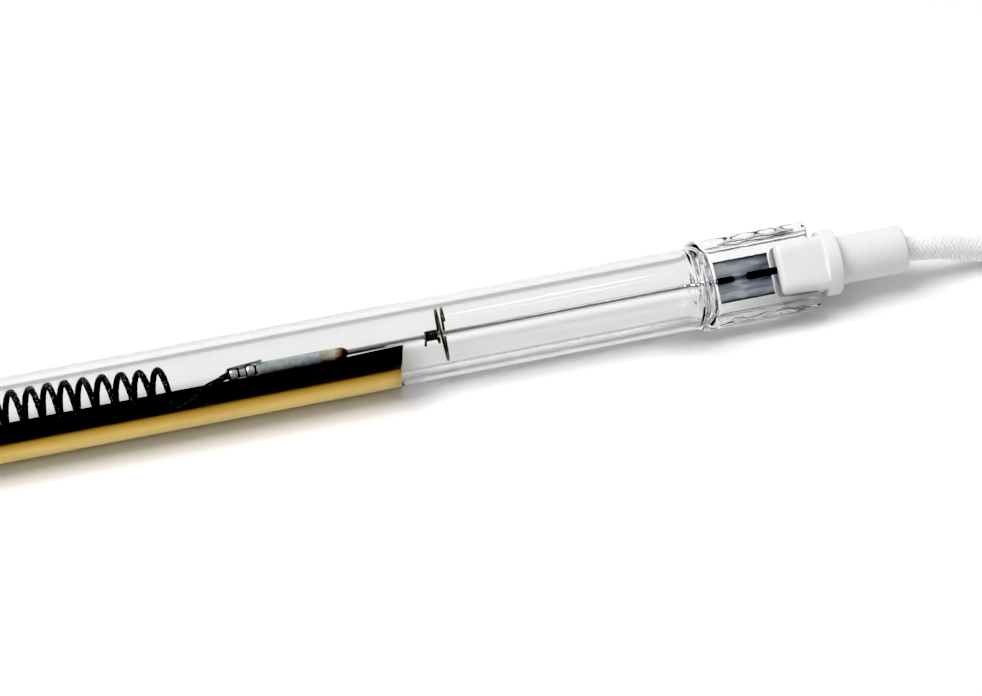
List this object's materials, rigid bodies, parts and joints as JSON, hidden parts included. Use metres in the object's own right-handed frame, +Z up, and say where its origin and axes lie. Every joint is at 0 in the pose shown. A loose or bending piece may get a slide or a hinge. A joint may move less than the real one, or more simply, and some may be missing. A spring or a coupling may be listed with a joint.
{
  "type": "quartz infrared heating tube",
  "caption": "Clear quartz heating tube with a coiled carbon rope, a gold half coating, pinch seals, white ceramic end caps and a braided lead.",
  "frame": {"origin": "on the surface that the tube lies on, under the middle of the tube", "axes": "+X along the tube towards the end with the lead, +Z up; the pinches lean 40 degrees from the surface, facing -Y"},
  "size_m": [0.4142, 0.0286, 0.012],
  "materials": {
    "clear_quartz": "clear polished",
    "gold_coating": "satin gold film",
    "carbon_rope": "braided carbon yarn",
    "lead_core": "stranded plated wire",
    "braided_cover": "white glass yarn braid",
    "tie_band": "matt",
    "tinned_metal": "tinned",
    "seal_foil": "slate sheen",
    "grey_wire": "drawn",
    "dark_pin": "oxidised",
    "white_ceramic": "matt white",
    "cement": "matt white",
    "bright_clip": "bright",
    "grey_sleeve": "matt grey",
    "burnt_bead": "cream to brown",
    "support_wire": "dark wire"
  },
  "bodies": {
    "root": {"quartz_envelope": "clear_quartz", "gold_reflector": "gold_coating", "carbon_coil": "carbon_rope", "lead_conductor": "lead_core", "lead_wire": "braided_cover", "lead_hank": "braided_cover", "lead_tie": "tie_band", "ring_terminal": "tinned_metal", "seal_foil_left": "seal_foil", "seal_foil_right": "seal_foil", "inner_lead_left": "grey_wire", "inner_lead_right": "grey_wire", "outer_pin_left": "dark_pin", "outer_pin_right": "dark_pin", "end_cap_left": "white_ceramic", "end_cap_right": "white_ceramic", "cap_cement_left": "cement", "cap_cement_right": "cement", "splice_sleeve_left": "tinned_metal", "splice_sleeve_right": "tinned_metal", "crimp_clip_left": "bright_clip", "crimp_clip_right": "bright_clip", "tail_sleeve_left": "grey_sleeve", "tail_sleeve_right": "grey_sleeve", "braze_bead_left": "burnt_bead", "braze_bead_right": "burnt_bead", "support_spiral_left": "support_wire", "support_spiral_right": "support_wire"}
  },
  "joints": []
}
